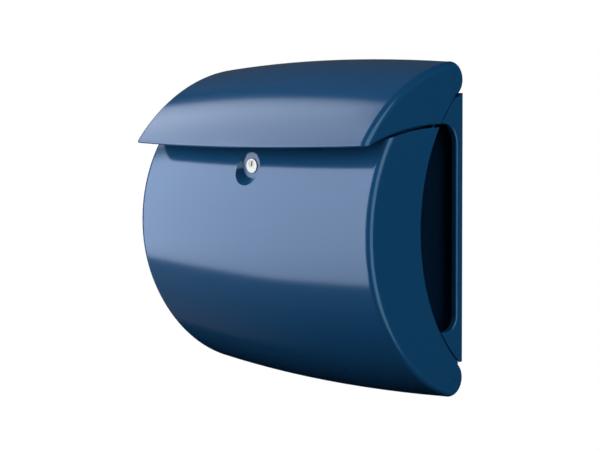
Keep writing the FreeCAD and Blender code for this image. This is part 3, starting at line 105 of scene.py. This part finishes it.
def moulded_abs(name, colour, roughness):
    """Semi-gloss ABS: even colour, roughness that drifts a little, and a fine moulding skin."""
    made, tree = new_material(name)
    place = add_node(tree, "ShaderNodeTexCoord")
    drift = add_node(tree, "ShaderNodeTexNoise",
                     values={"Scale": 1 / ABS_DRIFT, "Detail": DRIFT_DETAIL},
                     links={"Vector": place.outputs["Object"]})
    rough = add_node(tree, "ShaderNodeMapRange",
                     values={"To Min": roughness * (1 - ABS_SPREAD), "To Max": roughness * (1 + ABS_SPREAD)},
                     links={"Value": drift.outputs["Fac"]})
    skin = add_node(tree, "ShaderNodeTexNoise",
                    values={"Scale": 1 / SKIN_GRAIN, "Detail": SKIN_DETAIL},
                    links={"Vector": place.outputs["Object"]})
    rounded = add_node(tree, "ShaderNodeBevel", settings={"samples": EDGE_SAMPLES},
                       values={"Radius": EDGE_ROUND})
    bump = add_node(tree, "ShaderNodeBump",
                    values={"Strength": SKIN_STRENGTH, "Distance": SKIN_HEIGHT},
                    links={"Height": skin.outputs["Fac"], "Normal": rounded.outputs["Normal"]})
    shader = add_node(tree, "ShaderNodeBsdfPrincipled",
                      values={"Base Color": linear(colour), "IOR": ABS_IOR},
                      links={"Roughness": rough.outputs["Result"], "Normal": bump.outputs["Normal"]})
    finish_material(tree, shader)
    return made


petrol_abs = moulded_abs("moulded_abs_petrol_blue", PETROL, roughness=0.16)
print("made", petrol_abs.name)

# %% [markdown]
# The lock is die-cast zinc with a satin nickel plate, which is a warm grey that turns nearly
# white under the front light. Its cam and clip and the screws are steel with a clear zinc
# plate, a colder grey with softer reflections. The plug's plate is painted a little darker than
# the barrel's, as painted shade, so that the plug's outline shows. In the keyway the plug's
# metal darkens within a millimetre behind its face: this is painted shade for the deep slot,
# where hardly any light comes back. The Mix node has one set of sockets for each kind of data
# under the same names, so those for colours are taken by their numbers.

# %% Plated metals
METAL_DRIFT = 4 * MILLIMETRE
METAL_SPREAD = 0.2
KEYWAY_START = 0.2 * MILLIMETRE
KEYWAY_FADE = 0.6 * MILLIMETRE
MIX_FIRST = 6
MIX_SECOND = 7
MIX_RESULT = 2


def plated_metal(name, colour, roughness):
    """Plated metal: full metallic, with roughness that drifts over a few millimetres."""
    made, tree = new_material(name)
    place = add_node(tree, "ShaderNodeTexCoord")
    drift = add_node(tree, "ShaderNodeTexNoise",
                     values={"Scale": 1 / METAL_DRIFT, "Detail": DRIFT_DETAIL},
                     links={"Vector": place.outputs["Object"]})
    rough = add_node(tree, "ShaderNodeMapRange",
                     values={"To Min": roughness * (1 - METAL_SPREAD),
                             "To Max": roughness * (1 + METAL_SPREAD)},
                     links={"Value": drift.outputs["Fac"]})
    shader = add_node(tree, "ShaderNodeBsdfPrincipled",
                      values={"Base Color": linear(colour), "Metallic": 1.0},
                      links={"Roughness": rough.outputs["Result"]})
    finish_material(tree, shader)
    return made


def painted_depth_shade(made, face, depth, colour):
    """Paints shade into a metal: darkens it over the given depth behind its face, which is a Y value."""
    tree = made.node_tree
    shader = next(n for n in tree.nodes if n.type == "BSDF_PRINCIPLED")
    place = add_node(tree, "ShaderNodeTexCoord")
    parts = add_node(tree, "ShaderNodeSeparateXYZ", links={"Vector": place.outputs["Object"]})
    share = add_node(tree, "ShaderNodeMapRange", values={"From Min": face, "From Max": face + depth},
                     links={"Value": parts.outputs["Y"]})
    mixed = add_node(tree, "ShaderNodeMix", settings={"data_type": "RGBA"},
                     links={"Factor": share.outputs["Result"]})
    mixed.inputs[MIX_FIRST].default_value = shader.inputs["Base Color"].default_value
    mixed.inputs[MIX_SECOND].default_value = linear(colour)
    tree.links.new(mixed.outputs[MIX_RESULT], shader.inputs["Base Color"])
    return made


plug_face = min(corner[1] for corner in nodes["lock_plug"].bound_box)
print("the plug's face is at Y", round(plug_face / MILLIMETRE, 2), "mm")
barrel_plate = plated_metal("die_cast_zinc_nickel_plated", "#8F8776", roughness=0.22)
# The plug's plate is a little darker than the barrel's, which is painted shade that marks its outline;
# behind its face the keyway gets painted shade.
plug_plate_painted_shade = painted_depth_shade(plated_metal("lock_plug_nickel_painted_shade", "#837B6A", roughness=0.22),
                          plug_face + KEYWAY_START, KEYWAY_FADE, "#1A1A1A")
zinc_plate = plated_metal("pressed_steel_zinc_plated", "#B9BCBF", roughness=0.3)

# %% [markdown]
# Each node of the frame takes one finish: the metal ones by name, and all the rest the ABS.

# %% Finishes on the nodes
METAL_NODES = {
    "lock_barrel": barrel_plate,
    "lock_plug": plug_plate_painted_shade,
    "lock_cam": zinc_plate,
    "cam_screw": zinc_plate,
    "lock_clip": zinc_plate,
    "frame_screws": zinc_plate,
}
for name, node in nodes.items():
    node.data.materials.clear()
    node.data.materials.append(METAL_NODES.get(name, petrol_abs))
    print(name, len(node.data.polygons), "faces,", node.data.materials[0].name)

# %% [markdown]
# The stage and the lights are grids of quads that glow. How bright a point is comes from
# the strength of its material times a share that is stored on the mesh, so a light can fade
# towards its edges.

# %% Glowing surfaces


def grid_mesh(name, points, material):
    """A mesh from a grid of points (rows, columns, 3); each cell of the grid is one quad."""
    rows, columns = points.shape[:2]
    index = np.arange(rows * columns).reshape(rows, columns)
    quads = np.stack([index[:-1, :-1], index[:-1, 1:], index[1:, 1:], index[1:, :-1]], axis=-1)
    mesh = bpy.data.meshes.new(name)
    mesh.from_pydata(points.reshape(-1, 3), [], quads.reshape(-1, 4))
    mesh.materials.append(material)
    made = bpy.data.objects.new(name, mesh)
    bpy.context.scene.collection.objects.link(made)
    return made


def glowing(name, colour, strength):
    """A surface that only gives light: the strength times the share that its mesh stores."""
    made, tree = new_material(name)
    share = add_node(tree, "ShaderNodeAttribute", settings={"attribute_name": "glow"})
    scaled = add_node(tree, "ShaderNodeMath", settings={"operation": "MULTIPLY"},
                      links={0: share.outputs["Fac"]})
    scaled.inputs[1].default_value = strength
    glow = add_node(tree, "ShaderNodeEmission", values={"Color": linear(colour)},
                    links={"Strength": scaled.outputs["Value"]})
    add_node(tree, "ShaderNodeOutputMaterial", links={"Surface": glow.outputs["Emission"]})
    return made


def set_glow(made, shares):
    """Stores one share of the light for each vertex of a mesh."""
    layer = made.data.attributes.new("glow", "FLOAT", "POINT")
    layer.data.foreach_set("value", np.ascontiguousarray(shares, dtype=np.float32).ravel())


paper_white = glowing("paper_white", "#FFFFFF", strength=1.0)
print("made", paper_white.name)

# %% [markdown]
# The box hangs on a wall that isn't shown, so the white floor lies half a metre below it. It
# neither lights the plastic nor shows in it.

# %% Floor
FLOOR_DROP = 0.5
FLOOR_HALF = 20.0

corners = np.array([[[-1.0, -1.0, 0.0], [1.0, -1.0, 0.0]], [[-1.0, 1.0, 0.0], [1.0, 1.0, 0.0]]])
floor_points = corners * FLOOR_HALF + np.array([0.0, 0.0, cad_low[2] - FLOOR_DROP])
floor = grid_mesh("floor", floor_points, paper_white)
set_glow(floor, np.ones(4))
floor.visible_glossy = False
floor.visible_diffuse = False
print("floor at Z", round(float(floor_points[0, 0, 2]), 3), "m")

# %% [markdown]
# A studio with cool daylight stands about the box, as patches of a dome. A large scrim in
# front and to the left goes on downwards in two more, and another hangs above it. The smooth
# plastic shows them as the pale fields on the door and the lid, with a faint haze below. A
# narrow scrim to the right draws the bright line along the edges of door and lid and lights
# the side. A dim one at the back keeps the lid's top from black. All that lies below or above
# the front scrim is seen in reflections only, so that the belly of the door and the lid's top
# stay deep blue.

# %% Lights
NEAR = 3.0
FAR = 3.1
COOL = "#D2E2FF"
FRONT = (-68.0, -2.0)
FRONT_STRENGTH = 5.0
ACROSS_STEPS = 49
UP_STEPS = 25
EVEN = (1.0, 1.0)


def spread(values, steps):
    """Values given at even spacing, read off at a number of steps."""
    return np.interp(np.linspace(0.0, 1.0, steps), np.linspace(0.0, 1.0, len(values)), values)


def scrim(name, radius, azimuths, low_edge, high_edge, colour, strength, across, upward):
    """A glowing patch of a dome. Its point at azimuth a and elevation e, both in degrees as
    seen from the box, is R (cos e sin a, -cos e cos a, sin e). The low edge is a list of
    elevations from the first azimuth to the second. The light at a point is the strength
    times one share from the list across and one from the list upward."""
    turn = np.radians(spread(azimuths, ACROSS_STEPS))[None, :]
    low = np.radians(spread(low_edge, ACROSS_STEPS))[None, :]
    share = np.linspace(0.0, 1.0, UP_STEPS)[:, None]
    rise = low + share * (math.radians(high_edge) - low)
    points = radius * np.stack([np.cos(rise) * np.sin(turn), -np.cos(rise) * np.cos(turn),
                                np.sin(rise)], axis=-1)
    made = grid_mesh(name, points, glowing(name + "_glow", colour, strength))
    set_glow(made, spread(upward, UP_STEPS)[:, None] * spread(across, ACROSS_STEPS)[None, :])
    made.visible_camera = False
    print(name, "spans", azimuths[0], "to", azimuths[1], "degrees")
    return made


scrim("front_scrim", NEAR, FRONT, low_edge=(-8.0, -8.0), high_edge=42.0,
      colour=COOL, strength=FRONT_STRENGTH, across=EVEN, upward=(0.96, 1.0, 1.0, 1.0))
scrim("right_scrim", NEAR, (60.0, 106.0), low_edge=(-45.0, -45.0), high_edge=56.0,
      colour="#B6E3FF", strength=2.6, across=EVEN, upward=(0.6, 1.0, 1.0, 1.0, 0.9))
scrim("rear_scrim", NEAR, (-150.0, -112.0), low_edge=(10.0, 10.0), high_edge=60.0,
      colour="#FFFFFF", strength=0.06, across=EVEN, upward=EVEN)
middle_scrim = scrim("middle_scrim", NEAR, FRONT, low_edge=(-15.0, -15.0), high_edge=-8.0,
                     colour=COOL, strength=FRONT_STRENGTH, across=EVEN, upward=(0.93, 0.96))
low_scrim = scrim("low_scrim", NEAR, FRONT, low_edge=(-19.5, -31.5, -36.0, -28.0), high_edge=-15.0,
                  colour=COOL, strength=FRONT_STRENGTH, across=EVEN, upward=(0.7, 0.93))
upper_scrim = scrim("upper_scrim", FAR, (-102.5, -50.0), low_edge=(30.0, 30.0), high_edge=62.0,
                    colour="#E2EBFF", strength=3.15,
                    across=(0.55, 1.05, 1.0, 1.0, 1.0, 1.0), upward=(1.0, 0.9))
low_haze = scrim("low_haze", FAR, (-100.0, -2.0), low_edge=(-54.0, -54.0), high_edge=-15.0,
                 colour="#FFF4EC", strength=0.18, across=EVEN, upward=(0.0, 0.5, 1.0, 1.0))
for reflected_only in (middle_scrim, low_scrim, upper_scrim, low_haze):
    reflected_only.visible_diffuse = False

# %% [markdown]
# The backdrop is plain white to the camera and gives no light, so the scrims alone shape the
# plastic. The view stays in plain sRGB, as a product photo does.

# %% Backdrop
world = bpy.data.worlds.new("studio")
bpy.context.scene.world = world
world.use_nodes = True
backdrop = world.node_tree
backdrop.nodes.clear()
ray = add_node(backdrop, "ShaderNodeLightPath")
white = add_node(backdrop, "ShaderNodeBackground", values={"Color": linear("#FFFFFF")},
                 links={"Strength": ray.outputs["Is Camera Ray"]})
add_node(backdrop, "ShaderNodeOutputWorld", links={"Surface": white.outputs["Background"]})
bpy.context.scene.view_settings.view_transform = "Standard"
print("backdrop white, view", bpy.context.scene.view_settings.view_transform)

# %% [markdown]
# The camera stands where the photographer's did: to the right of the box, a little above
# its middle. It looks nearly level, and the frame is shifted down to it, so that the uprights
# stay upright.

# %% Camera
CAMERA_PLACE = (1.022, -1.1992, 0.1264)
CAMERA_YAW = math.radians(42.47)
CAMERA_PITCH = math.radians(-1.22)
CAMERA_LENS = 72.5
CAMERA_SENSOR = 36.0
CAMERA_SHIFT = -0.13

looking = Vector((-math.sin(CAMERA_YAW) * math.cos(CAMERA_PITCH),
                  math.cos(CAMERA_YAW) * math.cos(CAMERA_PITCH),
                  math.sin(CAMERA_PITCH)))
camera_data = bpy.data.cameras.new("camera")
camera_data.lens = CAMERA_LENS
camera_data.sensor_width = CAMERA_SENSOR
camera_data.shift_y = CAMERA_SHIFT
camera = bpy.data.objects.new("camera", camera_data)
camera.location = CAMERA_PLACE
camera.rotation_euler = looking.to_track_quat("-Z", "Y").to_euler()
bpy.context.scene.collection.objects.link(camera)
bpy.context.scene.camera = camera
print("camera", round(Vector(CAMERA_PLACE).length, 2), "m from the frame's origin")
